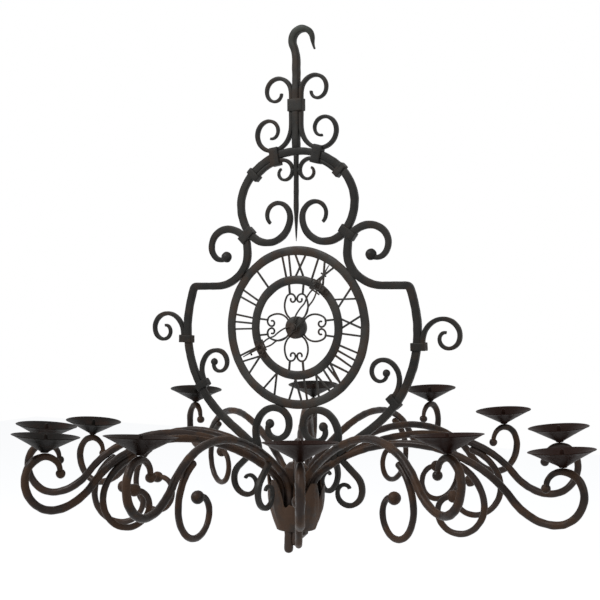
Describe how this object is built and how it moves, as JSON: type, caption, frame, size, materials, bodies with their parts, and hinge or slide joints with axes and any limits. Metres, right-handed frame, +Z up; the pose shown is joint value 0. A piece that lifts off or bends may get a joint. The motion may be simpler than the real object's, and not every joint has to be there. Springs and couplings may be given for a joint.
{
  "type": "hanging candle lamp",
  "caption": "Hanging candle lamp of forged iron: a hooked stem, a scrolled frame round a pierced clock dial with turning hands, and a ring of scrolled arms with drip pans",
  "frame": {"origin": "the inside top of the hook, where the lamp hangs", "axes": "+Z up along the hang line, -Y towards the side of the frame that the hands are on, +X to the right seen from there"},
  "size_m": [1.272, 1.2307, 1.1271],
  "materials": {
    "frame_iron": "dark forged iron, dry, with brown rust in patches",
    "dial_iron": "dark cut plate, dry, with brown rust in patches",
    "arm_iron": "dark brown forged iron with warm rust",
    "pan_iron": "dark sheet iron, soot-stained",
    "leaf_iron": "dark brown cast or beaten leaves with warm rust"
  },
  "bodies": {
    "lamp": {"arch_bar": "frame_iron", "arm_00": "arm_iron", "arm_01": "arm_iron", "arm_02": "arm_iron", "arm_03": "arm_iron", "arm_04": "arm_iron", "arm_05": "arm_iron", "arm_06": "arm_iron", "arm_07": "arm_iron", "arm_08": "arm_iron", "arm_09": "arm_iron", "arm_10": "arm_iron", "arm_11": "arm_iron", "arm_post": "arm_iron", "base_scroll_left": "frame_iron", "base_scroll_right": "frame_iron", "crest_scroll_left": "frame_iron", "crest_scroll_right": "frame_iron", "dial": "dial_iron", "hanging_scroll_left": "frame_iron", "hanging_scroll_right": "frame_iron", "hook_stem": "frame_iron", "inner_scroll_left": "frame_iron", "inner_scroll_right": "frame_iron", "leaf_cup": "leaf_iron", "lower_scroll_back": "frame_iron", "lower_scroll_front": "frame_iron", "lower_scroll_left": "frame_iron", "lower_scroll_right": "frame_iron", "outer_scroll_left": "frame_iron", "outer_scroll_right": "frame_iron", "pan_00": "pan_iron", "pan_01": "pan_iron", "pan_02": "pan_iron", "pan_03": "pan_iron", "pan_04": "pan_iron", "pan_05": "pan_iron", "pan_06": "pan_iron", "pan_07": "pan_iron", "pan_08": "pan_iron", "pan_09": "pan_iron", "pan_10": "pan_iron", "pan_11": "pan_iron", "side_bar_left": "frame_iron", "side_bar_right": "frame_iron", "under_scroll_00": "arm_iron", "under_scroll_01": "arm_iron", "under_scroll_02": "arm_iron", "under_scroll_03": "arm_iron", "under_scroll_04": "arm_iron", "under_scroll_05": "arm_iron", "under_scroll_06": "arm_iron", "under_scroll_07": "arm_iron", "under_scroll_08": "arm_iron", "under_scroll_09": "arm_iron", "under_scroll_10": "arm_iron", "under_scroll_11": "arm_iron"},
    "hour_hand": {"hour_hand": "dial_iron"},
    "minute_hand": {"minute_hand": "dial_iron"}
  },
  "joints": [
    {"name": "minute_turn", "type": "hinge", "parent": "lamp", "child": "minute_hand", "pos_m": [-0.01513, 0, -0.63304], "axis": [0, -1, 0], "continuous": true},
    {"name": "hour_turn", "type": "hinge", "parent": "lamp", "child": "hour_hand", "pos_m": [-0.01513, 0, -0.63304], "axis": [0, -1, 0], "continuous": true}
  ],
  "couplings": [
    {"joint": "hour_turn", "follows": "minute_turn", "ratio": 0.083333}
  ]
}
